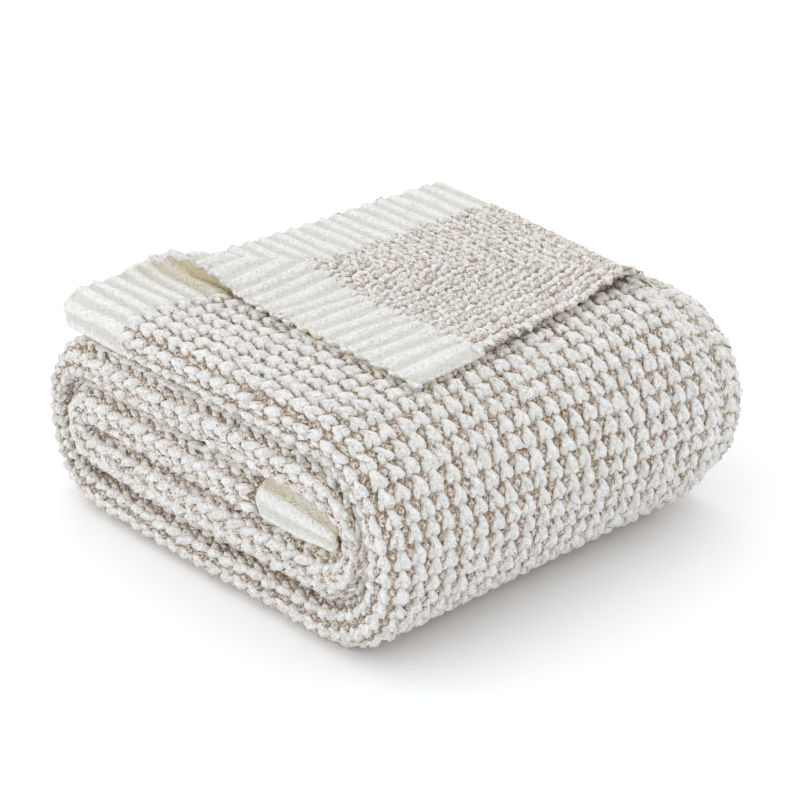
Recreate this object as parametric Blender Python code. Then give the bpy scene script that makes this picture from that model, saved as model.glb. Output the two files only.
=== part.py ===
"""A chunky knit throw, folded lengthwise in four, rolled up flat, with one corner turned back.

The throw is one knitted piece with a ribbed band at each end, so it is one solid. It starts as
a flat slab of its real size, cut up where it will bend. Each point of the slab is then carried
through the folding of the real thing: the turned-back corner, the two lengthwise folds, and
the roll of five passes. Along the slab, s runs across the width from the free side edge of
the top layer, u runs along the length from the outer hem, and w goes through the cloth towards
its face side.
"""
import math

import bmesh
import bpy
import numpy as np

# The flat throw, in metres
WIDTH = 1.30
LENGTH = 1.70
CLOTH = 0.0076
BAND = 0.066
HEM_ROUND = 0.0022

# Ribs of the bands: their pitch, how far they rise and the band's own thickness
RIB_PITCH = 0.0135
RIB_RISE = 0.0008
BAND_CLOTH = 0.0060
RIB_FADE = 0.0040
CORE_RIBS = 0.020

# The lengthwise folds: four layers, one inside the other at the front
LAYER = 0.0082
RUN = 0.3087
OUTER_FOLD = 1.5 * LAYER
INNER_FOLD = 0.5 * LAYER

# The roll: five passes, one above the other, between the left and the right bends
PASS = 0.0333
LEFT_X = -0.1311
RIGHT_X = 0.1089
OUTER_HEM_X = -0.1535
CORE_HEM_X = 0.1209
LEFT_Z = 2.0 * PASS
RIGHT_Z = 2.5 * PASS

# How the bends are pressed in or drawn out sideways, by distance from the bend's centre
RIGHT_PRESS = {
    "radius": (0.0, 0.0172, 0.0494, 0.0660, 0.0830),
    "shift": (0.0, 0.0105, -0.0030, -0.0030, -0.0040),
}
LEFT_PRESS = {
    "radius": (0.0, 0.0006, 0.0330, 0.0660),
    "shift": (0.0, 0.0024, 0.0, -0.0120),
}

# The outer end: its skew to the back, and how far each layer's hem is drawn in
SKEW = 0.0185
END_LENGTH = 0.255
HEM_DRAWN = {"level": (-1.5, -0.5, 0.5, 1.5), "drawn": (0.0, 0.0, -0.0030, 0.0235)}
DRAW_START = 0.02
DRAW_WIDTH = 0.10

# The core's end: how far its layers are squeezed together, and over what length
CORE_SQUEEZE = 0.28
CORE_SQUEEZE_LENGTH = 0.024

# The front folds stand out and draw in a little along the foot of the pack
FRONT_WAVE = 0.0035
FRONT_WAVE_LENGTH = 0.42
FRONT_WAVE_X = -0.085

# The turned-back corner: its 45 degree fold line, and the radius of the fold along that line
CORNER_LINE = 0.0249
CORNER_FOLD = {
    "along": (-0.17, -0.09, 0.0, 0.10, 0.19),
    "radius": (0.0115, 0.0085, 0.0075, 0.0075, 0.0085),
}
CORNER_SLOPE = math.radians(13.0)
CORNER_EASE = 0.040
CORNER_REST = LAYER + 0.0010
CORNER_CUTS = 8
CORNER_CUT_STEP = 0.0050
CORNER_FLAT_CUTS = (0.062, 0.086, 0.100)

# How finely the slab is cut up, and the cut where the turned-back tip leaves the flat top
TIP_CUT = 0.0166
FOLD_STEPS = 6
BACK_STEPS = 4
LEFT_STEPS = 6
RIGHT_STEPS = 8
RUN_CELLS = 2
PASS_CELLS = 3

# The packed throw's box is centred on the origin
CENTRE_X = 0.0012
CENTRE_Y = 0.0137
BASE_Z = 0.5 * PASS - OUTER_FOLD - 0.5 * CLOTH

CREAM = (0.807, 0.774, 0.716)
YARN_ROUGHNESS = 0.95


def straight(length):
    """One straight piece of a path."""
    return {"length": length, "radius": None, "turn": 0}


def bend(radius, turn):
    """A half turn of a path: turn is 1 to the left and -1 to the right."""
    return {"length": math.pi * radius, "radius": radius, "turn": turn}


def walk(path, start, heading):
    """Give each piece of a path the point and heading where it starts and its distance along."""
    point = np.array(start, dtype=float)
    along = 0.0
    pieces = []
    for piece in path:
        pieces.append({**piece, "point": point.copy(), "heading": heading, "start": along})
        if piece["radius"] is None:
            point += piece["length"] * np.array((math.cos(heading), math.sin(heading)))
        else:
            side = heading + piece["turn"] * math.pi / 2
            point += 2 * piece["radius"] * np.array((math.cos(side), math.sin(side)))
            heading += piece["turn"] * math.pi
        along += piece["length"]
    return pieces


def follow(pieces, distance):
    """The point and the heading at a distance along a path, which runs on straight past its ends."""
    piece = pieces[0]
    for candidate in pieces[1:]:
        if distance >= candidate["start"]:
            piece = candidate
    run = distance - piece["start"]
    heading = piece["heading"]
    if piece["radius"] is None:
        forward = np.array((math.cos(heading), math.sin(heading)))
        return piece["point"] + run * forward, heading
    turned = piece["turn"] * run / piece["radius"]
    side = heading + piece["turn"] * math.pi / 2
    centre = piece["point"] + piece["radius"] * np.array((math.cos(side), math.sin(side)))
    out = side + math.pi + turned
    return centre + piece["radius"] * np.array((math.cos(out), math.sin(out))), heading + turned


FOLD_Y = -0.5 * (RUN + 2.0 * LAYER + CLOTH) + OUTER_FOLD + 0.5 * CLOTH
TOP_LAYER = 0.5 * WIDTH - math.pi * OUTER_FOLD - RUN - 0.5 * math.pi * INNER_FOLD
SECOND_LAYER = 0.5 * WIDTH - 0.5 * math.pi * INNER_FOLD - RUN - math.pi * INNER_FOLD
SECTION = walk(
    [straight(TOP_LAYER), bend(OUTER_FOLD, 1), straight(RUN), bend(INNER_FOLD, 1), straight(RUN),
     bend(INNER_FOLD, -1), straight(SECOND_LAYER)],
    (FOLD_Y + TOP_LAYER, OUTER_FOLD), math.pi)
ROLL = walk(
    [straight(RIGHT_X - OUTER_HEM_X), bend(2.0 * PASS, -1), straight(RIGHT_X - LEFT_X),
     bend(1.5 * PASS, -1), straight(RIGHT_X - LEFT_X), bend(PASS, -1), straight(RIGHT_X - LEFT_X),
     bend(0.5 * PASS, -1), straight(CORE_HEM_X - LEFT_X)],
    (OUTER_HEM_X, 4.5 * PASS), 0.0)
ROLL_LENGTH = ROLL[-1]["start"] + ROLL[-1]["length"]
DRAW_OUT = ROLL_LENGTH / LENGTH


def ease(value):
    """A soft step from 0 to 1 while value goes from 0 to 1."""
    value = min(max(value, 0.0), 1.0)
    return value * value * (3.0 - 2.0 * value)


def fold_lengthwise(s, w):
    """Carry a point across the width into the folded section: the cloth's middle, and the point."""
    middle, heading = follow(SECTION, s)
    outward = np.array((math.sin(heading), -math.cos(heading)))
    return middle, middle + w * outward


def lay_end(along, y, level):
    """Slide a layer's hem along the roll and skew the outer end towards the back."""
    drawn = np.interp(level / LAYER, HEM_DRAWN["level"], HEM_DRAWN["drawn"])
    behind_fold = ease((y - FOLD_Y - DRAW_START) / DRAW_WIDTH)
    fade = 1.0 - ease(along / END_LENGTH)
    depth = max(y - FOLD_Y, 0.0) / RUN
    return along + drawn * behind_fold * fade, y + SKEW * fade * depth ** 4


def corner_profile(run, radius):
    """A fold seen from its end: forward distance, height and heading after a run past its line."""
    turned = math.pi + CORNER_SLOPE
    arc = radius * turned
    if run < arc:
        angle = run / radius
        return radius * math.sin(angle), radius * (1.0 - math.cos(angle)), angle
    forward = -radius * math.sin(CORNER_SLOPE)
    height = radius * (1.0 + math.cos(CORNER_SLOPE))
    ease_drop = CORNER_EASE * (1.0 - math.cos(CORNER_SLOPE))
    slope_length = (height - CORNER_REST - ease_drop) / math.sin(CORNER_SLOPE)
    run -= arc
    on_slope = min(run, slope_length)
    forward -= on_slope * math.cos(CORNER_SLOPE)
    height -= on_slope * math.sin(CORNER_SLOPE)
    run -= on_slope
    if run <= 0.0:
        return forward, height, turned
    angle = min(run / CORNER_EASE, CORNER_SLOPE)
    forward -= CORNER_EASE * (math.sin(CORNER_SLOPE) - math.sin(CORNER_SLOPE - angle))
    height -= CORNER_EASE * (math.cos(CORNER_SLOPE - angle) - math.cos(CORNER_SLOPE))
    run -= CORNER_EASE * angle
    return forward - run, height, turned - angle


def turn_corner(along, y, w):
    """Turn the top layer's back corner over its 45 degree line: along, y and height over the layer."""
    x = OUTER_HEM_X + along
    past = (y - x - CORNER_LINE) / math.sqrt(2.0)
    if past <= 0.0:
        return along, y, w
    beside = (x + y) / math.sqrt(2.0)
    radius = float(np.interp(beside, CORNER_FOLD["along"], CORNER_FOLD["radius"]))
    forward, height, heading = corner_profile(past, radius)
    forward -= w * math.sin(heading)
    height += w * math.cos(heading)
    shift = (forward - past) / math.sqrt(2.0)
    return along - shift, y + shift, height


def press(distance, height, table):
    """How far a bend is drawn out sideways at a distance and height from its centre."""
    radius = math.hypot(distance, height)
    if distance <= 0.0 or radius == 0.0:
        return 0.0
    return float(np.interp(radius, table["radius"], table["shift"])) * (distance / radius) ** 2


def roll_up(along, height):
    """Carry a point along the length into the roll: x and z."""
    centre, heading = follow(ROLL, along)
    to_core_hem = (ROLL_LENGTH - along) / CORE_SQUEEZE_LENGTH
    height *= 1.0 - CORE_SQUEEZE * ease(1.0 - to_core_hem)
    x, z = centre + height * np.array((-math.sin(heading), math.cos(heading)))
    x += press(x - RIGHT_X, z - RIGHT_Z, RIGHT_PRESS) - press(LEFT_X - x, z - LEFT_Z, LEFT_PRESS)
    return x, z


def front_wave(x, y, z):
    """How far a point is moved front to back: most at the foot of the front, none at the top or back."""
    low = 1.0 - ease(z / (5.0 * PASS))
    near_front = 1.0 - ease((y - FOLD_Y) / RUN)
    return -FRONT_WAVE * math.cos(2.0 * math.pi * (x - FRONT_WAVE_X) / FRONT_WAVE_LENGTH) * low * near_front


def place(s, u, w):
    """Carry one point of the flat slab to where it lies in the packed throw."""
    middle, (y, level) = fold_lengthwise(s, w)
    along, y = lay_end(u * DRAW_OUT, y, middle[1])
    if s < TOP_LAYER and along < ROLL[1]["start"]:
        along, y, height = turn_corner(along, y, w)
        level = OUTER_FOLD + height
    x, z = roll_up(along, level)
    y += front_wave(x, y, z)
    return x - CENTRE_X, y - CENTRE_Y, z - BASE_Z


def steps(start, length, count):
    """The ends of equal cells along a stretch."""
    return [start + length * k / count for k in range(count + 1)]


def width_cuts():
    """Where the slab is cut along its length: in the folds, and a few cuts on each layer."""
    cells = (RUN_CELLS, FOLD_STEPS, RUN_CELLS, BACK_STEPS, RUN_CELLS, FOLD_STEPS, RUN_CELLS)
    cuts = set()
    for piece, count in zip(SECTION, cells):
        cuts.update(steps(piece["start"], piece["length"], count))
    cuts.add(TIP_CUT)
    return sorted(cuts)[1:-1]


def length_cuts():
    """Where the slab is cut across its width: in the roll's bends, on its passes and at the bands."""
    cells = (PASS_CELLS, RIGHT_STEPS, PASS_CELLS, LEFT_STEPS, PASS_CELLS, RIGHT_STEPS, PASS_CELLS,
             LEFT_STEPS, PASS_CELLS)
    cuts = {BAND - RIB_FADE, BAND, LENGTH - BAND, LENGTH - BAND + RIB_FADE}
    for piece, count in zip(ROLL, cells):
        cuts.update(at / DRAW_OUT for at in steps(piece["start"], piece["length"], count))
    return sorted(cuts)[1:-1]


def rib_cuts(start, end, per_rib):
    """Where a band is cut to carry its ribs between two places across the width."""
    pitch = RIB_PITCH / per_rib
    first = math.ceil(start / pitch)
    last = math.floor(end / pitch)
    return [k * pitch for k in range(first, last + 1)]


def cut(bm, faces, point, normal):
    """Cut the given faces of a flat mesh along a line."""
    geometry = set(faces)
    for face in faces:
        geometry.update(face.edges)
        geometry.update(face.verts)
    bmesh.ops.bisect_plane(bm, geom=list(geometry), dist=1e-6, plane_co=point, plane_no=normal)


def faces_within(bm, s_range, u_range):
    """The faces whose middle lies in a stretch of the width and of the length."""
    found = []
    for face in bm.faces:
        middle = face.calc_center_median()
        if s_range[0] < middle.x < s_range[1] and u_range[0] < middle.y < u_range[1]:
            found.append(face)
    return found


def flat_cloth():
    """The flat throw as a thin mesh, cut up where it bends and where its bands are ribbed."""
    bm = bmesh.new()
    corners = [bm.verts.new(at) for at in ((0, 0, 0), (WIDTH, 0, 0), (WIDTH, LENGTH, 0), (0, LENGTH, 0))]
    bm.faces.new(corners)
    for s in width_cuts():
        cut(bm, bm.faces[:], (s, 0, 0), (1, 0, 0))
    for u in length_cuts():
        cut(bm, bm.faces[:], (0, u, 0), (0, 1, 0))
    fold_start = SECTION[1]["start"]
    fold_end = SECTION[2]["start"]
    outer_band = (0.0, BAND)
    core_band = (LENGTH - BAND, LENGTH)
    ribs = (
        (outer_band, 0.0, fold_end, 4),
        (outer_band, fold_end, SECTION[6]["start"], 2),
        (outer_band, SECTION[6]["start"], WIDTH, 4),
        (core_band, fold_start - CORE_RIBS, fold_end + CORE_RIBS, 4),
    )
    for band, start, end, per_rib in ribs:
        for s in rib_cuts(start, end, per_rib):
            cut(bm, faces_within(bm, (start - RIB_PITCH, end + RIB_PITCH), band), (s, 0, 0), (1, 0, 0))
    return bm


def corner_reach(s, u):
    """How far a point of the top layer lies towards its turned-back corner."""
    along, y = lay_end(u * DRAW_OUT, FOLD_Y + TOP_LAYER - s, OUTER_FOLD)
    return y - OUTER_HEM_X - along


def where_falls_to(falling, value, high):
    """The place between 0 and high where a falling function comes down to a value."""
    low = 0.0
    for _ in range(40):
        middle = 0.5 * (low + high)
        if falling(middle) > value:
            low = middle
        else:
            high = middle
    return low


def cut_corner(bm):
    """Cut the top layer along the lines on which its corner turns back."""
    runs = [k * CORNER_CUT_STEP for k in range(CORNER_CUTS + 1)] + list(CORNER_FLAT_CUTS)
    for run in runs:
        reach = CORNER_LINE + run * math.sqrt(2.0)
        s = where_falls_to(lambda at: corner_reach(at, 0.0), reach, TOP_LAYER)
        u = where_falls_to(lambda at: corner_reach(0.0, at), reach, ROLL[0]["length"])
        cut(bm, faces_within(bm, (0.0, TOP_LAYER), (0.0, ROLL[0]["length"])), (s, 0.0, 0.0), (u, s, 0.0))


def surfaces(s, u):
    """How high the face side and the reverse side stand off the middle of the cloth."""
    fold_start = SECTION[1]["start"]
    fold_end = SECTION[2]["start"]
    in_outer_band = u < BAND - RIB_FADE
    in_core_band = u > LENGTH - BAND + RIB_FADE and fold_start - CORE_RIBS < s < fold_end + CORE_RIBS
    if not (in_outer_band or in_core_band):
        return 0.5 * CLOTH, -0.5 * CLOTH
    wave = RIB_RISE * math.cos(2.0 * math.pi * s / RIB_PITCH)
    return wave + 0.5 * BAND_CLOTH, wave - 0.5 * BAND_CLOTH


def rounded_edge(s, u):
    """A point of the slab's outline moved out a little, to round the edge."""
    if s in (0.0, WIDTH):
        s += math.copysign(HEM_ROUND, s - 0.5 * WIDTH)
    if u in (0.0, LENGTH):
        u += math.copysign(HEM_ROUND, u - 0.5 * LENGTH)
    return s, u


def fold_cloth(flat):
    """Give the flat mesh its thickness and carry every point to its place."""
    points = []
    faces = []
    count = len(flat.verts)
    flat.verts.index_update()
    spots = [(snap(v.co.x, WIDTH), snap(v.co.y, LENGTH)) for v in flat.verts]
    for s, u in spots:
        points.append(place(s, u, surfaces(s, u)[0]))
    for s, u in spots:
        points.append(place(s, u, surfaces(s, u)[1]))
    for face in flat.faces:
        ring = [v.index for v in face.verts]
        faces.append(ring)
        faces.append([count + k for k in reversed(ring)])
    middle = {}
    for vert in flat.verts:
        if vert.is_boundary:
            middle[vert.index] = len(points)
            points.append(place(*rounded_edge(*spots[vert.index]), 0.0))
    for edge in flat.edges:
        if edge.is_boundary:
            loop = edge.link_loops[0]
            a = loop.vert.index
            b = loop.link_loop_next.vert.index
            faces += [[b, a, middle[a]], [b, middle[a], middle[b]]]
            faces += [[middle[b], middle[a], count + a], [middle[b], count + a, count + b]]
    return points, faces


def snap(value, limit):
    """A coordinate set exactly onto the slab's outline where it is within rounding of it."""
    if abs(value) < 1e-6:
        return 0.0
    if abs(value - limit) < 1e-6:
        return limit
    return value


def yarn_material():
    """Soft cream yarn."""
    material = bpy.data.materials.new("cream chenille yarn")
    material.use_nodes = True
    shader = material.node_tree.nodes["Principled BSDF"]
    shader.inputs["Base Color"].default_value = (*CREAM, 1.0)
    shader.inputs["Roughness"].default_value = YARN_ROUGHNESS
    shader.inputs["Metallic"].default_value = 0.0
    return material


def build_throw():
    """The whole throw as one closed solid."""
    flat = flat_cloth()
    cut_corner(flat)
    bmesh.ops.triangulate(flat, faces=flat.faces[:])
    points, faces = fold_cloth(flat)
    flat.free()
    mesh = bpy.data.meshes.new("throw")
    mesh.from_pydata(points, [], faces)
    mesh.shade_smooth()
    mesh.set_sharp_from_angle(angle=math.radians(40.0))
    mesh.materials.append(yarn_material())
    throw = bpy.data.objects.new("throw", mesh)
    bpy.context.scene.collection.objects.link(throw)


def main():
    for old in list(bpy.data.objects):
        bpy.data.objects.remove(old, do_unlink=True)
    build_throw()


main()
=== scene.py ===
"""A chunky chenille knit throw, folded in four, rolled up flat, with one corner turned back.

The cloth is cut flat at its real size and carried through the same folds as its solid. Along
the flat cloth, s runs across the width from the free side edge of the top layer, u runs along
the length from the outer hem, and w goes through the cloth towards its face side. The stitches
are short strands of yarn, modelled once, set out in columns and rows on the flat cloth and
carried through the folds with it. No cloth simulation is run.
"""
import math

import bpy
import numpy as np
from mathutils import Matrix, Vector


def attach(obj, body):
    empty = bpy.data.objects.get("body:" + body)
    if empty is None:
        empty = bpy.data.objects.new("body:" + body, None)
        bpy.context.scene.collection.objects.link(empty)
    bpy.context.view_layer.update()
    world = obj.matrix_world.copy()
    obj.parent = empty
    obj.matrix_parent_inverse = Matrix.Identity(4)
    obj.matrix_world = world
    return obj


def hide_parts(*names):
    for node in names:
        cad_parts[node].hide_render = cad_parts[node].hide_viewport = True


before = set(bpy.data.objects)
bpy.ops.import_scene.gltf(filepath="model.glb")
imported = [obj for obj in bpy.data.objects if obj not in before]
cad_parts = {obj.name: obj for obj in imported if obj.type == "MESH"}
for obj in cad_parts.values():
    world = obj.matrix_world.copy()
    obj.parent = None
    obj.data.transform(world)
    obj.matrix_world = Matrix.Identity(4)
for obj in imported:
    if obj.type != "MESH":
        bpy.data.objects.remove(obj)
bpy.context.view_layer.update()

MM = 0.001

# The flat throw
WIDTH = 1.30
LENGTH = 1.70
CLOTH = 7.6 * MM
BAND = 66.0 * MM
HEM_ROUND = 2.2 * MM

# The lengthwise folds: four layers, one inside the other at the front
LAYER = 8.2 * MM
RUN = 308.7 * MM
OUTER_FOLD = 1.5 * LAYER
INNER_FOLD = 0.5 * LAYER

# The roll: five passes, one above the other, between the left and the right bends
PASS = 33.3 * MM
LEFT_X = -131.1 * MM
RIGHT_X = 108.9 * MM
OUTER_HEM_X = -153.5 * MM
CORE_HEM_X = 120.9 * MM
LEFT_Z = 2.0 * PASS
RIGHT_Z = 2.5 * PASS

# How the two bends bulge out of round: distances from the bend's centre, and the push at each
RIGHT_PRESS = ((0.0, 0.0172, 0.0494, 0.0660, 0.0830), (0.0, 0.0105, -0.0030, -0.0030, -0.0040))
LEFT_PRESS = ((0.0, 0.0006, 0.0330, 0.0660), (0.0, 0.0024, 0.0, -0.0120))

# The outer end: its skew to the back, and how far the hem of each level, in layers, is drawn along
SKEW = 18.5 * MM
SKEW_CURVE = 4
END_LENGTH = 255.0 * MM
HEM_DRAWN = ((-1.5, -0.5, 0.5, 1.5), (0.0, 0.0, -0.0030, 0.0235))
DRAW_START = 20.0 * MM
DRAW_WIDTH = 100.0 * MM

# The core's end, squeezed flat, and the wave along the foot of the front
CORE_SQUEEZE = 0.28
CORE_SQUEEZE_LENGTH = 24.0 * MM
FRONT_WAVE = 3.5 * MM
FRONT_WAVE_LENGTH = 420.0 * MM
FRONT_WAVE_X = -85.0 * MM
FRONT_WAVE_TOP = 5.0 * PASS

# The turned-back corner: its line, places along the line with the fold's radius at each, its slope
# down and how softly that ends. It rests 1 mm closer to the cloth under it than in the solid
CORNER_LINE = 24.9 * MM
CORNER_FOLD = ((-0.17, -0.09, 0.0, 0.10, 0.19), (0.0115, 0.0085, 0.0075, 0.0075, 0.0085))
CORNER_SLOPE = math.radians(13.0)
CORNER_EASE = 40.0 * MM
CORNER_REST = LAYER

# Where the middle of the pack's base lies, and what the lowest points keep clear of the floor
CENTRE_X = 1.2 * MM
CENTRE_Y = 13.7 * MM
BASE_Z = 0.5 * PASS - OUTER_FOLD - 0.5 * CLOTH
FLOOR_CLEARANCE = 0.3 * MM

# How far the face and the reverse of the cloth behind the stitches lie from its middle, and the ribs
# of its bands: their rise, how full they are, how narrow the painted shade in their furrows is, how they
# wander, and how far the edges stand out of that painted shade
GROUND_FACE = 0.6 * MM
GROUND_REVERSE = -2.0 * MM
BAND_CLOTH = 6.0 * MM
RIB_PITCH = 13.5 * MM
RIB_RISE = 1.5 * MM
RIB_FADE = 5.0 * MM
RIB_FULLNESS = 0.6
RIB_CREST = 1.6
RIB_WANDER = 0.9 * MM
RIB_WANDER_LENGTH = 14.0 * MM
RIB_WANDER_TURNS = (2.1, 1.7)
EDGE_RIDGE = 0.8

# The stitches stand in columns along the length and rows across it
COLUMN = 13.7 * MM
ROW = 14.2 * MM
COLUMN_AT_S = 287.3 * MM
ROW_AT_U = 323.5 * MM

# How far outside the middle of the cloth they keep that pitch, round each fold and each bend
FOLDS_OUTSIDE = np.array((0.0, 2.6, 0.0, 2.6, 0.0, 2.6, 0.0)) * MM
BENDS_OUTSIDE = np.array((0.0, 16.0, 0.0, 16.0, 0.0, 4.0, 0.0, 4.0, 0.0)) * MM

# How uneven they are: the turn, size, place and lumps of each, and the slow sway of columns and rows
STITCH_TURN = math.radians(5.0)
STITCH_SIZE = 0.06
STITCH_SLIDE = 0.35 * MM
STITCH_BOUNCE = 0.4
STITCH_LUMPS = 0.5 * MM
STITCH_SWAY = 0.8 * MM
COLUMN_SWAY = (0.37, 0.9, 0.31)
ROW_SWAY = (0.53, 1.3, 0.23)

# A strand's flatness, and how far its closed tips reach past its ends, as a share of its radius
YARN_FLATNESS = 0.88
YARN_TIP = 0.7

# Between which heights over the cloth a strand turns from the painted shade of the furrows to its own
# colour. The strands round a rim lie below the face and still show their own colour
FURROW_DEPTH = (-0.6 * MM, 4.4 * MM)
RIM_DEPTH = (-9.0 * MM, -4.0 * MM)

# How far the stitches keep from the core's band and the side edges, where the edges' own stitches
# stand, and how many columns count as the front folds and as the last layer's inner edge
CORE_CLEAR = 14.0 * MM
EDGE_CLEAR = 8.0 * MM
EDGE_INSET = 4.2 * MM
BACK_INSET = 2.0 * MM
RIM_INSET = 0.4 * MM
FRONT_COLUMNS = (2.0, 0.6)
INSIDE_COLUMNS = 3.0

# How far past the corner's line the face's stitches end, and those of the reverse start: on the
# turned corner and on the layer under it
FACE_TO = 16.0 * MM
CORNER_FROM = -2.0 * MM
UNDER_FROM = -22.0 * MM

# How much larger a stitch is along, across and up, and how the reverse is raised and evened
AS_CUT = (1.0, 1.0, 1.0)
FULLER = (1.0, 1.06, 1.03)
FRONT_FULLER = (1.03, 1.08, 1.05)
REVERSE_LIFT = 0.6 * MM
REVERSE_UNEVEN = 0.6


def path_pieces(path, start, heading):
    """Rows of start distance, point, heading, radius and turn for a path of straights and half turns."""
    point = np.array(start, dtype=float)
    along = 0.0
    rows = []
    for length, radius, turn in path:
        rows.append((along, *point, heading, radius, turn))
        if turn:
            side = heading + turn * math.pi / 2.0
            point = point + 2.0 * radius * np.array((math.cos(side), math.sin(side)))
            heading += turn * math.pi
            along += math.pi * radius
        else:
            point = point + length * np.array((math.cos(heading), math.sin(heading)))
            along += length
    return np.array(rows), along


def follow(pieces, distance):
    """The points and the headings at distances along a path, which runs on straight past its ends."""
    which = np.clip(np.searchsorted(pieces[:, 0], distance, side="right") - 1, 0, len(pieces) - 1)
    start, first, second, heading, radius, turn = np.moveaxis(pieces[which], -1, 0)
    run = distance - start
    turned = turn * run / radius
    side = heading + turn * math.pi / 2.0
    out = side + math.pi + turned
    bent = turn != 0
    a = first + np.where(bent, radius * (np.cos(side) + np.cos(out)), run * np.cos(heading))
    b = second + np.where(bent, radius * (np.sin(side) + np.sin(out)), run * np.sin(heading))
    return a, b, heading + turned


FOLD_Y = -0.5 * (RUN + 2.0 * LAYER + CLOTH) + OUTER_FOLD + 0.5 * CLOTH
TOP_LAYER = 0.5 * WIDTH - math.pi * OUTER_FOLD - RUN - 0.5 * math.pi * INNER_FOLD
SECOND_LAYER = 0.5 * WIDTH - 0.5 * math.pi * INNER_FOLD - RUN - math.pi * INNER_FOLD
SECTION, _ = path_pieces(
    [(TOP_LAYER, 1.0, 0), (0.0, OUTER_FOLD, 1), (RUN, 1.0, 0), (0.0, INNER_FOLD, 1), (RUN, 1.0, 0),
     (0.0, INNER_FOLD, -1), (SECOND_LAYER, 1.0, 0)],
    (FOLD_Y + TOP_LAYER, OUTER_FOLD), math.pi)
ROLL, ROLL_LENGTH = path_pieces(
    [(RIGHT_X - OUTER_HEM_X, 1.0, 0), (0.0, 2.0 * PASS, -1), (RIGHT_X - LEFT_X, 1.0, 0),
     (0.0, 1.5 * PASS, -1), (RIGHT_X - LEFT_X, 1.0, 0), (0.0, PASS, -1), (RIGHT_X - LEFT_X, 1.0, 0),
     (0.0, 0.5 * PASS, -1), (CORE_HEM_X - LEFT_X, 1.0, 0)],
    (OUTER_HEM_X, 4.5 * PASS), 0.0)
DRAW_OUT = ROLL_LENGTH / LENGTH
FRONT_FOLD = (SECTION[1, 0], SECTION[2, 0])
BACK_FOLD = (SECTION[3, 0], SECTION[4, 0])
LAST_LAYER = SECTION[6, 0]


def ease(value):
    """A soft step from 0 to 1 while value goes from 0 to 1."""
    value = np.clip(value, 0.0, 1.0)
    return value * value * (3.0 - 2.0 * value)


def lay_end(along, y, level):
    """Slide a layer's hem along the roll and skew the outer end towards the back."""
    drawn = np.interp(level / LAYER, *HEM_DRAWN) * ease((y - FOLD_Y - DRAW_START) / DRAW_WIDTH)
    fade = 1.0 - ease(along / END_LENGTH)
    depth = np.maximum(y - FOLD_Y, 0.0) / RUN
    return along + drawn * fade, y + SKEW * fade * depth ** SKEW_CURVE


def corner_reach(along, y):
    """How far a point of the top layer lies past the corner's fold line, towards the corner."""
    return (y - OUTER_HEM_X - along - CORNER_LINE) / math.sqrt(2.0)


def corner_profile(run, radius):
    """A fold seen from its end: forward distance, height and heading after a run past its line."""
    sin, cos = math.sin(CORNER_SLOPE), math.cos(CORNER_SLOPE)
    arc = radius * (math.pi + CORNER_SLOPE)
    angle = np.minimum(run, arc) / radius
    slope = (radius * (1.0 + cos) - CORNER_REST - CORNER_EASE * (1.0 - cos)) / sin
    on_slope = np.clip(run - arc, 0.0, slope)
    eased = np.clip((run - arc - slope) / CORNER_EASE, 0.0, CORNER_SLOPE)
    flat = np.maximum(run - arc - slope - CORNER_EASE * CORNER_SLOPE, 0.0)
    forward = radius * np.sin(angle) - on_slope * cos - flat
    forward = forward - CORNER_EASE * (sin - np.sin(CORNER_SLOPE - eased))
    height = radius * (1.0 - np.cos(angle)) - on_slope * sin
    height = height - CORNER_EASE * (np.cos(CORNER_SLOPE - eased) - cos)
    return forward, height, angle - eased


def turn_corner(along, y, w):
    """Turn the top layer's back corner over its line: along, y and height over the layer."""
    past = corner_reach(along, y)
    radius = np.interp((OUTER_HEM_X + along + y) / math.sqrt(2.0), *CORNER_FOLD)
    forward, height, heading = corner_profile(np.maximum(past, 0.0), radius)
    forward = forward - w * np.sin(heading)
    shift = np.where(past > 0.0, (forward - past) / math.sqrt(2.0), 0.0)
    return along - shift, y + shift, np.where(past > 0.0, height + w * np.cos(heading), w)


def press(distance, height, table):
    """How far a bend is drawn out sideways at a distance and height from its centre."""
    radius = np.maximum(np.hypot(distance, height), 1e-9)
    return np.where(distance > 0.0, np.interp(radius, *table) * (distance / radius) ** 2, 0.0)


def place(s, u, w):
    """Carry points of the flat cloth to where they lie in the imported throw."""
    middle, level, heading = follow(SECTION, s)
    y = middle + w * np.sin(heading)
    along, y = lay_end(u * DRAW_OUT, y, level)
    top = (s < TOP_LAYER) & (along < ROLL[1, 0])
    turned, turned_y, height = turn_corner(along, y, w)
    along = np.where(top, turned, along)
    y = np.where(top, turned_y, y)
    level = np.where(top, OUTER_FOLD + height, level - w * np.cos(heading))
    x, z, heading = follow(ROLL, along)
    level = level * (1.0 - CORE_SQUEEZE * ease(1.0 - (ROLL_LENGTH - along) / CORE_SQUEEZE_LENGTH))
    x = x - level * np.sin(heading)
    z = z + level * np.cos(heading)
    x = x + press(x - RIGHT_X, z - RIGHT_Z, RIGHT_PRESS) - press(LEFT_X - x, z - LEFT_Z, LEFT_PRESS)
    low = (1.0 - ease(z / FRONT_WAVE_TOP)) * (1.0 - ease((y - FOLD_Y) / RUN))
    y = y - FRONT_WAVE * np.cos(2.0 * math.pi * (x - FRONT_WAVE_X) / FRONT_WAVE_LENGTH) * low
    z = np.maximum(z - BASE_Z, FLOOR_CLEARANCE)
    return np.stack((x - CENTRE_X, y - CENTRE_Y, z), axis=-1)


def spread(pieces, outside):
    """Distances along a path and along a line outside its bends, with a metre to spare at both ends."""
    ends = np.concatenate(((-1.0,), pieces[:, 0], (pieces[-1, 0] + 1.0,)))
    stretch = np.append(1.0, 1.0 + np.where(pieces[:, 5] != 0, outside / pieces[:, 4], 0.0))
    return ends, np.append(0.0, np.cumsum(np.diff(ends) * stretch)) - 1.0


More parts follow.
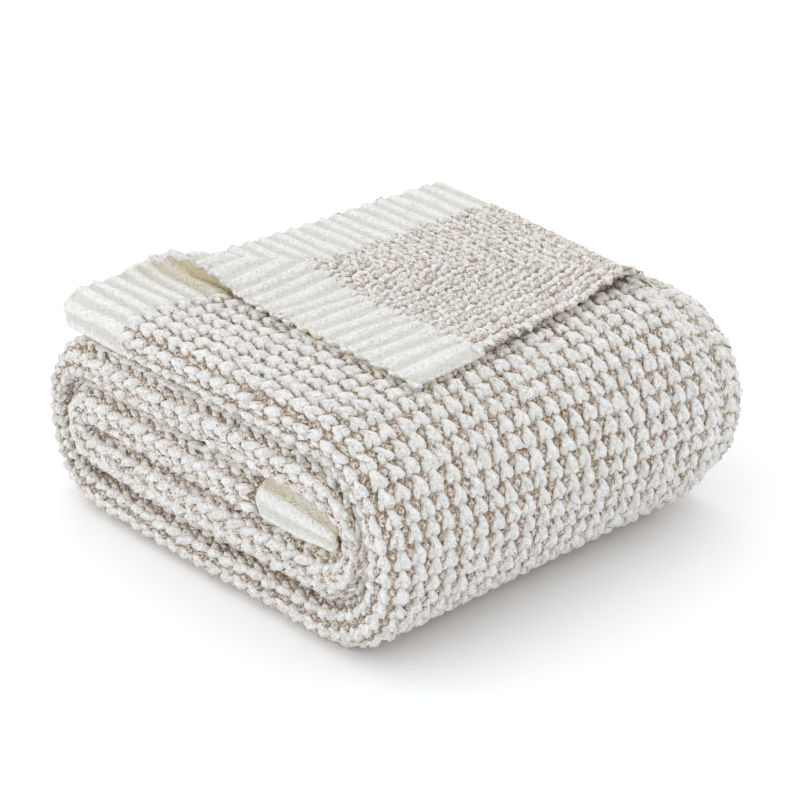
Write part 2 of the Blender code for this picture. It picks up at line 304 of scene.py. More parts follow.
SPREAD_S = spread(SECTION, FOLDS_OUTSIDE)
SPREAD_U = spread(ROLL, BENDS_OUTSIDE)
COLUMN_START = np.interp(COLUMN_AT_S, *SPREAD_S) % COLUMN
ROW_START = np.interp(ROW_AT_U * DRAW_OUT, *SPREAD_U) % ROW


def cloth_at(column, row):
    """The place on the flat cloth of a spot counted in columns and rows of stitches."""
    s = np.interp(column * COLUMN + COLUMN_START, SPREAD_S[1], SPREAD_S[0])
    u = np.interp(row * ROW + ROW_START, SPREAD_U[1], SPREAD_U[0]) / DRAW_OUT
    return s, u


def stitch_at(s, u):
    """The columns and rows counted up to a place on the flat cloth."""
    column = (np.interp(s, *SPREAD_S) - COLUMN_START) / COLUMN
    row = (np.interp(u * DRAW_OUT, *SPREAD_U) - ROW_START) / ROW
    return column, row


# The strands of one stitch, modelled once and set out by the thousand: a yarn, the sides of its tube,
# and points of (along, across, up, radius) in millimetres
TOOTH = (
    ("cream", 6, ((-4.8, 0.6, -0.7, 2.0), (-0.2, 0.4, 1.2, 3.1), (5.2, -0.8, 2.2, 3.8),
                  (9.8, -2.2, 0.9, 3.0))),
    ("cream", 5, ((2.0, 1.8, 0.9, 2.5), (6.2, 3.2, 1.4, 3.0), (9.6, 4.4, 0.4, 2.2))),
    ("marl", 5, ((-3.6, 5.8, -0.8, 1.8), (0.2, 6.8, 0.6, 2.9), (4.4, 7.6, -0.6, 1.9))),
    ("cream", 4, ((0.6, 9.6, 0.4, 1.0), (5.8, 7.4, 0.8, 1.2))),
)
FRONT_STITCH = (
    ("cream", 6, ((-5.2, 1.2, -0.2, 2.2), (-0.4, 0.8, 1.7, 3.3), (5.6, -1.0, 2.6, 4.1),
                  (10.6, -3.2, 1.3, 3.1))),
    ("cream", 5, ((1.8, 2.6, 1.2, 2.8), (5.4, 4.4, 1.6, 3.2), (8.6, 6.0, 0.7, 2.5))),
    ("marl", 5, ((-4.6, 6.4, 0.8, 2.2), (0.0, 7.9, 1.8, 3.5), (4.4, 9.6, 0.8, 2.3))),
    ("marl", 4, ((9.6, 2.0, 0.0, 1.5), (12.8, 4.6, 0.8, 2.2))),
    ("cream", 4, ((9.6, 5.4, 0.4, 1.3), (13.6, 7.2, 0.8, 1.5))),
)
BACK_STITCH = (
    ("cream", 5, ((-6.8, -1.8, 0.0, 2.3), (-3.2, -0.8, 1.1, 3.4), (1.0, -0.4, 0.0, 2.2))),
    ("cream", 5, ((0.6, 0.8, 0.2, 2.2), (4.0, 0.2, 1.1, 3.1), (7.8, -1.2, 0.0, 2.2))),
    ("marl", 6, ((-7.2, 4.8, -0.1, 2.1), (-3.0, 5.8, 1.4, 3.6), (2.4, 6.4, 1.3, 3.6),
                 (6.0, 6.6, -0.1, 2.3))),
    ("cream", 4, ((3.6, 3.0, 0.6, 1.6), (7.6, 6.6, 1.5, 2.3), (9.8, 10.4, 0.6, 1.9))),
    ("marl", 4, ((-5.2, 9.6, -0.3, 1.8), (0.0, 10.2, 0.3, 2.2), (3.8, 10.6, -0.3, 1.6))),
)
EDGE_STITCH = (
    ("cream", 6, ((-2.4, 1.8, 0.2, 2.2), (2.0, 1.4, 1.0, 3.3), (7.6, -0.6, 1.0, 3.0),
                  (11.6, -1.6, 0.4, 2.2))),
    ("cream", 5, ((4.0, 2.4, 0.6, 2.6), (8.0, 3.9, 0.9, 2.8), (11.6, 5.0, 0.0, 2.2))),
    ("marl", 4, ((-2.4, 5.4, -0.4, 1.6), (2.8, 6.0, 0.2, 1.9))),
)
RIM_STITCH = (
    ("cream", 5, ((-6.8, 0.4, -1.2, 2.1), (-3.3, -0.6, -0.8, 3.4), (0.2, 0.4, -1.2, 2.2))),
    ("marl", 5, ((1.0, 0.8, -1.4, 1.8), (3.9, -0.1, -0.9, 3.0), (6.8, 0.8, -1.4, 1.9))),
)
HEM_LOOP = (
    ("cream", 5, ((3.0, -3.6, 1.0, 1.3), (-0.2, -2.9, 1.0, 1.8), (-1.6, 0.0, 1.0, 2.1),
                  (-0.2, 2.9, 1.0, 1.8), (3.0, 3.6, 1.0, 1.3))),
)
CORE_LOOP = (("cream", 5, tuple((-a, b, w, r) for a, b, w, r in HEM_LOOP[0][2][::-1])),)
YARNS = ("cream", "marl")


def mirrored(strands):
    """The same stitch with its left and right sides changed over."""
    return tuple((yarn, sides, tuple((a, -b, w, r) for a, b, w, r in path)) for yarn, sides, path in strands)


def yarn_tube(path, sides):
    """A closed tube of yarn along a path of points with radii: its points and faces."""
    path = np.array(path) * MM
    centre, radius = path[:, :3], path[:, 3]
    tangent = np.gradient(centre, axis=0)
    tangent /= np.linalg.norm(tangent, axis=1)[:, None]
    across = np.cross(np.array((0.0, 0.0, 1.0)), tangent)
    across /= np.linalg.norm(across, axis=1)[:, None]
    up = np.cross(tangent, across)
    turn = 2.0 * math.pi * np.arange(sides) / sides
    ring = np.cos(turn)[None, :, None] * across[:, None]
    ring = ring + YARN_FLATNESS * np.sin(turn)[None, :, None] * up[:, None]
    rings = centre[:, None] + radius[:, None, None] * ring
    tips = np.stack((centre[0] - YARN_TIP * radius[0] * tangent[0],
                     centre[-1] + YARN_TIP * radius[-1] * tangent[-1]))
    points = np.concatenate((rings.reshape(-1, 3), tips))
    last = len(path) - 1
    first_tip = len(path) * sides
    faces = []
    for k in range(sides):
        n = (k + 1) % sides
        faces.append((first_tip, n, k))
        faces.append((first_tip + 1, last * sides + k, last * sides + n))
        faces += [(i * sides + k, i * sides + n, (i + 1) * sides + n, (i + 1) * sides + k)
                  for i in range(last)]
    return points, faces


def yarn_form(strands):
    """The strands of one stitch as one set of points, with its faces and each face's yarn."""
    points, faces, yarns = [], [], []
    count = 0
    for yarn, sides, path in strands:
        new_points, new_faces = yarn_tube(path, sides)
        points.append(new_points)
        faces += [tuple(k + count for k in face) for face in new_faces]
        yarns += [YARNS.index(yarn)] * len(new_faces)
        count += len(new_points)
    return np.concatenate(points), faces, yarns


def build_mesh(name, points, sizes, corners, slots, materials):
    """A smooth mesh object from its points, the size of each face and the corners in order."""
    mesh = bpy.data.meshes.new(name)
    mesh.vertices.add(len(points))
    mesh.vertices.foreach_set("co", np.asarray(points, dtype=np.float32).ravel())
    mesh.loops.add(len(corners))
    mesh.loops.foreach_set("vertex_index", np.asarray(corners, dtype=np.int32))
    mesh.polygons.add(len(sizes))
    starts = np.append(0, np.cumsum(sizes)[:-1])
    mesh.polygons.foreach_set("loop_start", starts.astype(np.int32))
    mesh.polygons.foreach_set("material_index", np.asarray(slots, dtype=np.int32))
    mesh.update(calc_edges=True)
    mesh.shade_smooth()
    for material in materials:
        mesh.materials.append(material)
    piece = bpy.data.objects.new(name, mesh)
    bpy.context.scene.collection.objects.link(piece)
    return piece


def swaying(first, second, turns):
    """A slow uneven wave, from -1 to 1, over two counts of stitches."""
    return np.sin(turns[0] * first + turns[1] * np.sin(turns[2] * second))


def set_stitches(name, strands, spots, side, materials, seed, lift, uneven, grow, depth):
    """One joined mesh of a stitch set at every given column and row, each a little uneven."""
    columns, rows = spots
    points, faces, yarns = yarn_form(strands)
    points = points * np.array(grow)
    chance = np.random.default_rng(seed)
    count = len(columns)
    turn = chance.normal(0.0, uneven * STITCH_TURN, count)[:, None]
    size = 1.0 + chance.normal(0.0, uneven * STITCH_SIZE, (count, 3, 1))
    slide = chance.normal(0.0, uneven * STITCH_SLIDE, (count, 3, 1))
    lumpy = points + chance.normal(0.0, STITCH_LUMPS, (count, *points.shape))
    along = (lumpy[..., 0] * np.cos(turn) - lumpy[..., 1] * np.sin(turn)) * size[:, 0] + slide[:, 0]
    across = (lumpy[..., 0] * np.sin(turn) + lumpy[..., 1] * np.cos(turn)) * size[:, 1] + slide[:, 1]
    up = lumpy[..., 2] * size[:, 2] + STITCH_BOUNCE * slide[:, 2] + lift
    sway = STITCH_SWAY * swaying(rows, columns, COLUMN_SWAY)
    shift = STITCH_SWAY * swaying(columns, rows, ROW_SWAY)
    s, u = cloth_at(columns[:, None] + (across + sway[:, None]) / COLUMN,
                    rows[:, None] + (along + shift[:, None]) / ROW)
    placed = place(s, u, side * up)
    corners = np.concatenate([face if side > 0 else face[::-1] for face in faces])
    corners = (corners[None, :] + len(points) * np.arange(count)[:, None]).ravel()
    sizes = np.tile([len(face) for face in faces], count)
    piece = build_mesh(name, placed.reshape(-1, 3), sizes, corners, np.tile(yarns, count), materials)
    # How far each point stands out of the painted shade at the foot of the stitch
    ridges = np.clip((points[:, 2] - depth[0]) / (depth[1] - depth[0]), 0.0, 1.0)
    mark_ridges(piece, np.tile(ridges, count))
    return piece


def mark_ridges(piece, ridges):
    """Keep how far each point stands out of the furrows of the knit, for the painted shade of the materials.
    """
    raised = piece.data.attributes.new("ridge", "FLOAT", "POINT")
    raised.data.foreach_set("value", np.asarray(ridges, dtype=np.float32))


def lattice(s_range, u_range):
    """The columns and rows of every stitch that lies between two places across and two along."""
    low_column, low_row = stitch_at(s_range[0], u_range[0])
    high_column, high_row = stitch_at(s_range[1], u_range[1])
    columns = np.arange(math.ceil(low_column), math.floor(high_column) + 1)
    rows = np.arange(math.ceil(low_row), math.floor(high_row) + 1)
    columns, rows = np.meshgrid(columns, rows, indexing="ij")
    return columns.ravel().astype(float), rows.ravel().astype(float)


def past_corner(columns, rows):
    """How far the spots of a lattice lie past the line of the turned-back corner."""
    s, u = cloth_at(columns, rows)
    y, level, _ = follow(SECTION, s)
    along, y = lay_end(u * DRAW_OUT, y, level)
    return corner_reach(along, y)


def kept(spots, mask):
    """The spots of a lattice where a mask holds."""
    return spots[0][mask], spots[1][mask]


# How finely the cloth itself is cut: across the width, layer by layer and fold by fold, along the
# length, pass by pass and bend by bend, and in the ribbed bands
FINE_CELL = 4.2 * MM
LOOSE_CELL = 26.0 * MM
FOLD_CELL = 3.4 * MM
WIDTH_CELLS = (FINE_CELL, FOLD_CELL, LOOSE_CELL, FOLD_CELL, LOOSE_CELL, FOLD_CELL, FINE_CELL)
LENGTH_CELLS = np.array((4.2, 6.0, 26.0, 7.0, 26.0, 8.0, 26.0, 6.0, 12.0)) * MM
RIB_CUTS = 8
CORE_RIBS = 2.0
BAND_CELL = 5.0 * MM


def width_cuts():
    """Cuts across the width: fine where the face or the reverse shows, loose inside the pack."""
    ends = np.append(SECTION[1:, 0], WIDTH)
    cuts = [0.0]
    for start, end, cell in zip(SECTION[:, 0], ends, WIDTH_CELLS):
        count = round((end - start) / cell)
        cuts += list(start + (end - start) * np.arange(1, count + 1) / count)
    return np.array(cuts)


def length_cuts():
    """Cuts along the length between the bands: fine on the outer turn, looser towards the core."""
    ends = np.append(ROLL[1:, 0], ROLL_LENGTH) / DRAW_OUT
    cuts = [BAND]
    for start, end, cell in zip(ROLL[:, 0] / DRAW_OUT, ends, LENGTH_CELLS):
        start, end = max(start, BAND), min(end, LENGTH - BAND)
        count = max(1, round((end - start) / cell))
        cuts += list(start + (end - start) * np.arange(1, count + 1) / count)
    return np.array(cuts)


def rib_cuts(coarse, fine_at):
    """The coarse cuts with more between them where ribs show, and the places of the coarse ones."""
    cuts, places = [coarse[0]], [0]
    for start, end in zip(coarse[:-1], coarse[1:]):
        middle = 0.5 * (start + end)
        near = any(low < middle < high for low, high in fine_at)
        count = math.ceil((end - start) * RIB_CUTS / RIB_PITCH) if near else 1
        cuts += list(start + (end - start) * np.arange(1, count + 1) / count)
        places.append(len(cuts) - 1)
    return np.array(cuts), places


def grid_faces(numbers):
    """Four-cornered faces between the numbered points of a grid."""
    corners = np.stack((numbers[:-1, :-1], numbers[1:, :-1], numbers[1:, 1:], numbers[:-1, 1:]), axis=-1)
    return corners.reshape(-1, 4).tolist()


def flat_cloth():
    """The flat cloth as three grids joined edge to edge: points of (s, u), faces and the outline."""
    coarse = width_cuts()
    body = length_cuts()[1:-1]
    outer_s, outer_at = rib_cuts(coarse, ((0.0, FRONT_FOLD[1] + RIB_PITCH), (LAST_LAYER, WIDTH)))
    shown = (FRONT_FOLD[0] - CORE_RIBS * RIB_PITCH, FRONT_FOLD[1] + RIB_PITCH)
    core_s, core_at = rib_cuts(coarse, (shown,))
    band_u = np.linspace(0.0, BAND, round(BAND / BAND_CELL) + 1)
    spots, grids = [], []
    count = 0
    for across, lengthwise in ((outer_s, band_u), (coarse, body), (core_s, LENGTH - band_u[::-1])):
        s, u = np.meshgrid(across, lengthwise, indexing="ij")
        spots.append(np.stack((s.ravel(), u.ravel()), axis=-1))
        grids.append(count + np.arange(s.size).reshape(s.shape))
        count += s.size
    outer, middle, core = grids
    faces = grid_faces(outer) + grid_faces(middle) + grid_faces(core)
    for k in range(len(coarse) - 1):
        low = outer[outer_at[k]:outer_at[k + 1] + 1, -1].tolist()
        high = core[core_at[k]:core_at[k + 1] + 1, 0].tolist()
        faces.append(low + [int(middle[k + 1, 0]), int(middle[k, 0])])
        faces.append([int(middle[k, -1]), int(middle[k + 1, -1])] + high[::-1])
    right = np.concatenate((outer[-1, 1:], middle[-1], core[-1]))
    left = np.concatenate((core[0, :-1][::-1], middle[0, ::-1], outer[0, 1:][::-1]))
    outline = np.concatenate((outer[:, 0], right, core[:-1, -1][::-1], left))
    return np.concatenate(spots), faces, outline.tolist()


def in_band(u):
    """How far a place lies in a ribbed band: 1 in it, 0 past it."""
    return 1.0 - ease((np.minimum(u, LENGTH - u) - BAND + RIB_FADE) / RIB_FADE)


def cloth_sides(s, u):
    """How high the face and the reverse stand off the cloth's middle, and how far out of a furrow's painted
    shade.
    """
    band = in_band(u)
    along, across = RIB_WANDER_TURNS
    wander = RIB_WANDER * (np.sin(u / RIB_WANDER_LENGTH + along * s / RIB_PITCH)
                           + np.sin(across * s / RIB_PITCH))
    wave = 0.5 + 0.5 * np.cos(2.0 * math.pi * (s + wander) / RIB_PITCH)
    rib = RIB_RISE * (2.0 * wave ** RIB_FULLNESS - 1.0) * band
    face = GROUND_FACE + (0.5 * BAND_CLOTH - GROUND_FACE) * band + rib
    reverse = GROUND_REVERSE + (-0.5 * BAND_CLOTH - GROUND_REVERSE) * band + rib
    # How far each point lies out of the painted shade of the rib furrows, on the face and on the reverse
    ridges = np.concatenate((1.0 - (1.0 - wave ** RIB_CREST) * band,
                             1.0 - (1.0 - (1.0 - wave) ** RIB_CREST) * band))
    return face, reverse, ridges


def fold_cloth(materials):
    """The cloth itself: both sides and the edges, folded and rolled as the solid is."""
    spots, faces, outline = flat_cloth()
    s, u = spots.T
    face_side, reverse_side, ridges = cloth_sides(s, u)
    rim = spots[outline]
    rim_s, rim_u = [rim[:, k] + HEM_ROUND * (np.isclose(rim[:, k], size).astype(float)
                                             - np.isclose(rim[:, k], 0.0))
                    for k, size in ((0, WIDTH), (1, LENGTH))]
    rim_w = 0.5 * (face_side + reverse_side)[outline]
    points = np.concatenate((place(s, u, face_side), place(s, u, reverse_side), place(rim_s, rim_u, rim_w)))
    count = len(spots)
    ring = np.array(outline)
    after = np.roll(ring, -1)
    rims = 2 * count + np.arange(len(ring))
    rims_after = np.roll(rims, -1)
    edge_faces = np.stack((after, ring, rims, rims_after), axis=-1).tolist()
    edge_faces += np.stack((rims_after, rims, count + ring, count + after), axis=-1).tolist()
    every = faces + [[count + k for k in face[::-1]] for face in faces] + edge_faces
    flat_at = np.concatenate((spots, spots, np.stack((rim_s, rim_u), axis=-1)))
    middles = np.array([flat_at[face[0], 1] + flat_at[face[-2], 1] for face in every]) * 0.5
    slots = (in_band(middles) > 0.5).astype(int)
    corners = np.concatenate(every)
    throw = build_mesh("folded_cloth", points, [len(face) for face in every], corners, slots, materials)
    layer = throw.data.uv_layers.new(name="cut")
    layer.data.foreach_set("uv", flat_at[corners].astype(np.float32).ravel())
    mark_ridges(throw, np.append(ridges, np.full(len(rim), EDGE_RIDGE)))
    return throw


def linear(code):
    """An sRGB hex colour as linear red, green, blue and alpha."""
    parts = [int(code[k:k + 2], 16) / 255.0 for k in (1, 3, 5)]
    parts = [c / 12.92 if c <= 0.04045 else ((c + 0.055) / 1.055) ** 2.4 for c in parts]
    return (*parts, 1.0)


def add_node(tree, kind, settings=None, **inputs):
    """Add a node with its settings and its inputs, each a value or a link from another node's output."""
    node = tree.nodes.new(kind)
    for name, value in (settings or {}).items():
        setattr(node, name, value)
    for name, value in inputs.items():
        key = int(name[1:]) if name[0] == "i" and name[1:].isdigit() else name.replace("_", " ")
        if isinstance(value, bpy.types.NodeSocket):
            tree.links.new(value, node.inputs[key])
        else:
            node.inputs[key].default_value = value
    return node


# Lengths over which the relief repeats. A tuft of chenille pile is under 1 mm wide, too fine for a
# picture where a pixel covers 0.7 mm, so PILE is drawn about twice as coarse as it is. TWIST is about
# half a turn of a chunky yarn's plies and PURL a row of the rib's small stitches, both near real size
PILE = 2.0 * MM
TWIST = 4.4 * MM
PURL = 4.4 * MM

# How deep that relief looks: the pile and the twist deeper than real, so that their fuzz still shows
PILE_RISE = 2.6 * MM
TWIST_RISE = 2.2 * MM
PURL_RISE = 0.9 * MM
PURL_STRENGTH = 0.25
PURL_SLANT = 1.2
PURL_WIDTH = 0.25 * RIB_PITCH

# Flecks and pile are ragged, and the twist is rounder
RAGGED = {"Detail": 2.0, "Roughness": 0.6}
ROUNDER = {"Detail": 1.0}

# How far a hollow is felt, and between which shares of the light its painted warm shade comes and goes
HOLLOW_REACH = 40.0 * MM
HOLLOW_LIGHT = (0.1, 0.75)
HOLLOW_RAYS = 8

# Up to what height of the knit the painted shade of the furrows shows
FURROW_END = 0.6

# How a cut pile takes the light: matt, with a faint sheen, and some light passes through thin bands
YARN_SURFACE = {"Roughness": 0.95, "Specular IOR Level": 0.2, "Sheen Weight": 0.1, "Sheen Roughness": 0.6,
                "Subsurface Radius": (1.0, 0.9, 0.7), "Subsurface Scale": 3.0 * MM}
THROUGH_LIGHT = 0.25


def yarn_material(name, colours, furrow, fleck, balance, relief=1.0, hollow="", ribbed=False):
    """A yarn with no gloss, so that its flecks, the painted shade of its furrows and hollows and a fuzzy
    relief are all it shows.
    """
    material = bpy.data.materials.new(name)
    material.use_nodes = True
    tree = material.node_tree
    shader = tree.nodes["Principled BSDF"]
    place_at = add_node(tree, "ShaderNodeTexCoord").outputs["Object"]
    flecks = add_node(tree, "ShaderNodeTexNoise", Vector=place_at, Scale=1.0 / fleck, **RAGGED)
    ramp = add_node(tree, "ShaderNodeValToRGB", Fac=flecks.outputs["Fac"])
    stops = ramp.color_ramp.elements
    dark, middle, light = [linear(code) for code in colours]
    stops[0].position, stops[1].position = balance[0], balance[2]
    stops[0].color, stops[1].color = dark, light
    stops.new(balance[1]).color = middle
    ridge = add_node(tree, "ShaderNodeAttribute", {"attribute_name": "ridge"}).outputs["Fac"]
    raised = add_node(tree, "ShaderNodeMapRange", {"interpolation_type": "SMOOTHSTEP"}, Value=ridge,
                      From_Min=0.0, From_Max=FURROW_END)
    colour = add_node(tree, "ShaderNodeMix", {"data_type": "RGBA"}, i0=raised.outputs["Result"],
                      i6=linear(furrow), i7=ramp.outputs["Color"]).outputs[2]
    if hollow:
        colour = paint_warm_hollow_shade(tree, colour, hollow)
    twist = add_node(tree, "ShaderNodeTexNoise", Vector=place_at, Scale=1.0 / TWIST, **ROUNDER)
    soft = add_node(tree, "ShaderNodeBump", Strength=relief, Distance=TWIST_RISE,
                    Height=twist.outputs["Fac"])
    if ribbed:
        soft = add_purls(tree, soft)
    pile = add_node(tree, "ShaderNodeTexNoise", Vector=place_at, Scale=1.0 / PILE, **RAGGED)
    fuzz = add_node(tree, "ShaderNodeBump", Strength=relief, Distance=PILE_RISE,
                    Height=pile.outputs["Fac"], Normal=soft.outputs["Normal"])
    tree.links.new(colour, shader.inputs["Base Color"])
    tree.links.new(fuzz.outputs["Normal"], shader.inputs["Normal"])
    for socket, value in YARN_SURFACE.items():
        shader.inputs[socket].default_value = value
    shader.inputs["Subsurface Weight"].default_value = THROUGH_LIGHT if ribbed else 0.0
    return material


def paint_warm_hollow_shade(tree, colour, hollow):
    """Paint the cream a warmer shade deep in a fold, as painted shade for light gone from pile to pile."""
    light = add_node(tree, "ShaderNodeAmbientOcclusion", {"samples": HOLLOW_RAYS}, Distance=HOLLOW_REACH)
    lit = add_node(tree, "ShaderNodeMapRange", {"interpolation_type": "SMOOTHSTEP"},
                   Value=light.outputs["AO"], From_Min=HOLLOW_LIGHT[0], From_Max=HOLLOW_LIGHT[1])
    return add_node(tree, "ShaderNodeMix", {"data_type": "RGBA"}, i0=lit.outputs["Result"],
                    i6=linear(hollow), i7=colour).outputs[2]


def add_purls(tree, under):
    """The knit of a rib: small slanted stitches one after the other along it."""
    cut_at = add_node(tree, "ShaderNodeUVMap", {"uv_map": "cut"}).outputs["UV"]
    split = add_node(tree, "ShaderNodeSeparateXYZ", i0=cut_at)
    across = add_node(tree, "ShaderNodeMath", {"operation": "PINGPONG"}, i0=split.outputs["X"],
                      i1=PURL_WIDTH)
    slant = add_node(tree, "ShaderNodeMath", {"operation": "MULTIPLY_ADD"}, i0=across.outputs[0],
                     i1=PURL_SLANT, i2=split.outputs["Y"])
    turns = add_node(tree, "ShaderNodeMath", {"operation": "MULTIPLY"}, i0=slant.outputs[0],
                     i1=2.0 * math.pi / PURL)
    wave = add_node(tree, "ShaderNodeMath", {"operation": "SINE"}, i0=turns.outputs[0])
    return add_node(tree, "ShaderNodeBump", Strength=PURL_STRENGTH, Distance=PURL_RISE,
                    Height=wave.outputs[0], Normal=under.outputs["Normal"])


def make_materials():
    """The yarns: colours dark, middle and light, the painted shade of the furrows, the fleck size and the
    colours' balance.

    Real flecks, where two plies of a twist change places, are about 1 mm long. They are drawn 1.9 to
    2.6 mm long, or else they would blur into one tone at the photograph's distance.
    """
    # Chenille, a cut cream pile: it reads as one soft white with barely any fleck, with painted shade in its
    # furrows and a painted warm shade in its hollows
    cream = yarn_material("chenille yarn, cream pile", ("#E2DDD5", "#EFEEEB", "#F5F4F2"), "#E0D3C2",
                          2.4 * MM, (0.30, 0.48, 0.60), hollow="#F0E7DB")
    # Marl, a twist of beige and brown plies: it reads as salt and pepper, with painted shade deep in the
    # knit, and on the face it is drawn darker than its lighter copy below, as painted shade
    marl = yarn_material("marl yarn, beige and brown twist", ("#846A54", "#CFBFAE", "#F0E8DF"), "#927863",
                         1.9 * MM, (0.36, 0.47, 0.58))
    # The same marl, drawn lighter, on the reverse and along the edges: the lit copy of the face's marl, with
    # painted shade in its furrows
    pale = yarn_material("marl yarn, lighter copy", ("#AF9B88", "#E2D8CE", "#F5F1EC"), "#7A6450",
                         2.6 * MM, (0.34, 0.48, 0.62))
    # Marl at the foot of the stitches, the same yarn drawn a darker tan as painted shade, since it shows
    # only through the gaps between them
    ground = yarn_material("marl yarn, ground with painted shade", ("#7A6350", "#B5A290", "#D8CBBC"), "#B5A290",
                           2.0 * MM, (0.36, 0.50, 0.64))
    # Chenille knitted in ribs: smoother and evenly white, with painted shade in the furrows of its ribs and
    # a painted pale yellow deep in a fold, for light that comes through it
    rib = yarn_material("chenille rib knit, cream", ("#DEDBD6", "#E9E8E5", "#EFEEEC"), "#D9D6CF",
                        2.0 * MM, (0.30, 0.48, 0.62), 0.9, "#FBF0CF", ribbed=True)
    return cream, marl, pale, ground, rib


# The studio: a floor, an even surround, and soft boxes with their place, watts and size, aimed at the throw
FLOOR_SIZE = 8.0
FLOOR_WHITE = "#FCFCFD"
FLOOR_MATT = 0.9
SURROUND = (0.97, 0.985, 1.0, 1.0)
SURROUND_STRENGTH = 1.12
LAMPS = (("softbox above", (-0.7, -0.2, 2.2), 4.0, 1.8),
         ("softbox front left", (-1.0, -2.0, 1.2), 7.5, 2.2))
LAMPS_AIM = Vector((0.0, 0.0, 0.08))


def set_floor_and_light():
    """A plain pale floor, a soft overhead light and a soft fill from the left."""
    bpy.ops.object.select_all(action="DESELECT")
    bpy.ops.mesh.primitive_plane_add(size=FLOOR_SIZE, location=(0.0, 0.0, 0.0))
    floor = bpy.context.object
    floor.name = "studio_floor"
    # Emulsion, rolled on: it reads as an even white with no gloss, so that only the soft shadow shows
    paint = bpy.data.materials.new("matt white studio paint")
    paint.use_nodes = True
    shader = paint.node_tree.nodes["Principled BSDF"]
    shader.inputs["Base Color"].default_value = linear(FLOOR_WHITE)
    shader.inputs["Roughness"].default_value = FLOOR_MATT
    floor.data.materials.append(paint)
    world = bpy.data.worlds.new("white studio")
    world.use_nodes = True
    world.node_tree.nodes["Background"].inputs["Color"].default_value = SURROUND
    world.node_tree.nodes["Background"].inputs["Strength"].default_value = SURROUND_STRENGTH
    bpy.context.scene.world = world
    for name, at, power, size in LAMPS:
        light = bpy.data.lights.new(name, "AREA")
        light.energy = power
        light.size = size
        lamp = bpy.data.objects.new(name, light)
        lamp.location = at
        lamp.rotation_euler = (LAMPS_AIM - Vector(at)).to_track_quat("-Z", "Y").to_euler()
        bpy.context.scene.collection.objects.link(lamp)


# The camera: its turn, its rise, its distance and the point that it looks at, beside and above the middle
CAMERA_TURN = math.radians(47.73)
CAMERA_RISE = math.radians(26.15)
CAMERA_DISTANCE = 1.546
CAMERA_ASIDE = -2.0 * MM
CAMERA_ABOVE = -3.2 * MM
CAMERA_MIDDLE = Vector((0.0, 0.0, 0.082))
FOCAL_PIXELS = 2164.3
FRAME_PIXELS = 800.0
SENSOR = 36.0


def set_camera():
    """The camera at the photograph's angle."""
    back = Vector((math.sin(CAMERA_TURN) * math.cos(CAMERA_RISE),
                   -math.cos(CAMERA_TURN) * math.cos(CAMERA_RISE), math.sin(CAMERA_RISE)))
    right = Vector((math.cos(CAMERA_TURN), math.sin(CAMERA_TURN), 0.0))
    up = back.cross(right)
    camera = bpy.data.cameras.new("camera")
    camera.sensor_width = SENSOR
    camera.lens = FOCAL_PIXELS / FRAME_PIXELS * SENSOR
    stand = bpy.data.objects.new("camera", camera)
    at = CAMERA_MIDDLE + right * CAMERA_ASIDE + up * CAMERA_ABOVE + back * CAMERA_DISTANCE
    stand.matrix_world = Matrix.Translation(at) @ Matrix((right, up, back)).transposed().to_4x4()
    bpy.context.scene.collection.objects.link(stand)
    bpy.context.scene.camera = stand
    bpy.context.scene.view_settings.view_transform = "Standard"


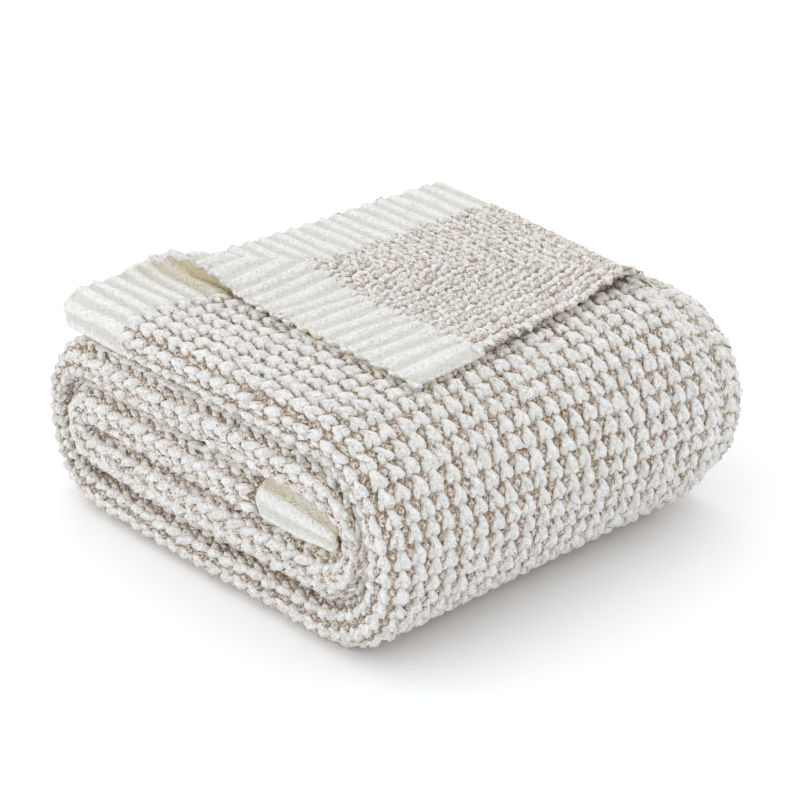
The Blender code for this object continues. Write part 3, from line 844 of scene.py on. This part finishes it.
def knit_throw():
    """The cloth and all the stitches on it."""
    cream, marl, pale, ground, rib = make_materials()
    cloth = fold_cloth((ground, rib))
    bends = ROLL[1:, 0] / DRAW_OUT
    hem = BAND - HEM_ROUND
    body = (BAND, LENGTH - BAND - CORE_CLEAR)
    front = (FRONT_FOLD[0] - FRONT_COLUMNS[0] * COLUMN, FRONT_FOLD[1] + FRONT_COLUMNS[1] * COLUMN)
    top = (EDGE_CLEAR, front[1])
    pieces = []

    def knit(name, strands, spots, side, yarn, seed, lift=0.0, uneven=1.0, grow=AS_CUT,
             depth=FURROW_DEPTH):
        """Add a set of stitches on the face (side 1) or on the reverse (side -1), each with its seed."""
        yarns = (cream, yarn)
        pieces.append(set_stitches(name, strands, spots, side, yarns, seed, lift, uneven, grow, depth))

    # The face: the top layer and its roll, the front folds and the back fold
    spots = lattice(top, (hem, bends[0]))
    knit("stitches_top", TOOTH, kept(spots, past_corner(*spots) < FACE_TO), 1.0, marl, 11, grow=FULLER)
    knit("stitches_right", TOOTH, lattice(top, (bends[0], bends[1])), 1.0, marl, 12, grow=FULLER)
    knit("stitches_left", TOOTH, lattice(top, (bends[1], bends[3])), 1.0, marl, 13, grow=FULLER)
    knit("stitches_front", FRONT_STITCH, lattice(front, (bends[3], body[1])), 1.0, marl, 14,
         grow=FRONT_FULLER)
    spots = lattice((BACK_FOLD[0] - COLUMN, BACK_FOLD[1] + COLUMN), body)
    knit("stitches_back", TOOTH, spots, 1.0, marl, 15)

    # The reverse: the turned corner, the last layer under it, and that layer's edge down the roll
    spots = lattice((EDGE_CLEAR, FRONT_FOLD[0]), (hem, bends[0]))
    knit("stitches_corner", BACK_STITCH, kept(spots, past_corner(*spots) > CORNER_FROM), -1.0, pale, 16,
         REVERSE_LIFT, REVERSE_UNEVEN)
    spots = lattice((LAST_LAYER, WIDTH - EDGE_CLEAR), (hem, bends[0]))
    knit("stitches_under", BACK_STITCH, kept(spots, past_corner(*spots) > UNDER_FROM), -1.0, pale, 17,
         REVERSE_LIFT, REVERSE_UNEVEN)
    spots = lattice((WIDTH - INSIDE_COLUMNS * COLUMN, WIDTH - EDGE_CLEAR), (bends[0], body[1]))
    knit("stitches_inside", mirrored(TOOTH), spots, -1.0, pale, 21, grow=FULLER)

    # The side edges: a column of stitches on each side of both, and one round each rim
    rows = np.unique(lattice((0.0, 1.5 * COLUMN), (hem, body[1]))[1])
    outer = rows < stitch_at(0.0, bends[0])[1]

    def edge(name, strands, s, side, yarn, seed, along=rows, depth=FURROW_DEPTH):
        """Add one column of stitches at a place across the width."""
        columns = np.full(len(along), stitch_at(s, BAND)[0])
        knit(name, strands, (columns, along), side, yarn, seed, depth=depth)

    edge("edge_top", EDGE_STITCH, EDGE_INSET, 1.0, marl, 18)
    edge("edge_corner", BACK_STITCH, BACK_INSET, -1.0, pale, 19, rows[outer])
    edge("edge_under", mirrored(BACK_STITCH), WIDTH - BACK_INSET, -1.0, pale, 20, rows[outer])
    edge("edge_far", mirrored(EDGE_STITCH), WIDTH - EDGE_INSET, -1.0, pale, 27, rows[~outer])
    edge("edge_inside", mirrored(EDGE_STITCH), WIDTH - EDGE_INSET, 1.0, marl, 22)
    edge("edge_inside_next", mirrored(TOOTH), WIDTH - EDGE_INSET - COLUMN, 1.0, marl, 23)
    edge("rim_top", RIM_STITCH, RIM_INSET, 1.0, pale, 24, depth=RIM_DEPTH)
    edge("rim_under", mirrored(RIM_STITCH), WIDTH - RIM_INSET, 1.0, pale, 25, depth=RIM_DEPTH)

    # The hems: a loop over the end of each rib, and on the reverse one over each furrow
    core_s = (FRONT_FOLD[0] - COLUMN, FRONT_FOLD[1])
    for name, strands, u, (low, high) in (("hem_loops", HEM_LOOP, 0.0, (0.0, WIDTH)),
                                          ("core_loops", CORE_LOOP, LENGTH, core_s)):
        for side_name, half, side in (("face", 0.0, 1.0), ("back", 0.5, -1.0)):
            ribs = np.arange(math.ceil(low / RIB_PITCH), math.floor(high / RIB_PITCH)) + half
            spots = stitch_at(ribs * RIB_PITCH, np.full(len(ribs), u))
            knit(f"{name}_{side_name}", strands, spots, side, pale, 26, depth=RIM_DEPTH)
    return cloth, pieces


def main():
    """The throw on its plain floor, as photographed, and what each piece rides on."""
    set_camera()
    set_floor_and_light()
    cloth, stitches = knit_throw()
    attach(cloth, "root")
    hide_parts("throw")
    for piece in stitches:
        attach(piece, "root")


main()

bpy.context.view_layer.update()
